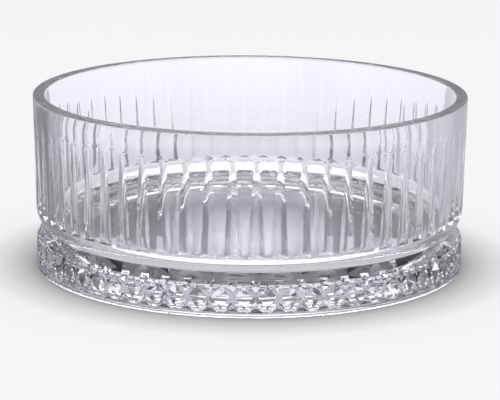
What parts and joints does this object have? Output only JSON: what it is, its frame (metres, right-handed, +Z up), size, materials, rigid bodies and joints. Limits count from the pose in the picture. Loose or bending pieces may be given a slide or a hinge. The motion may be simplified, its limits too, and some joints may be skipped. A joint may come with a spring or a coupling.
{
  "type": "pressed glass bowl",
  "caption": "Clear pressed-glass dessert bowl with a fluted side wall, a pinched waist and a heavy foot with a lattice of crossed ribs and diamonds.",
  "frame": {"origin": "middle of the ring that the bowl stands on, on the bowl's axis", "axes": "+Z up along the bowl's axis, out of its mouth; -Y through the middle of a flute and of the rib crossing below it; +X to the right of that"},
  "size_m": [0.12, 0.12, 0.048],
  "materials": {
    "glass": "polished"
  },
  "bodies": {
    "root": {"rim": "glass", "fluted_wall": "glass", "waist": "glass", "floor": "glass", "diamond_foot": "glass", "standing_ring": "glass"}
  },
  "joints": []
}
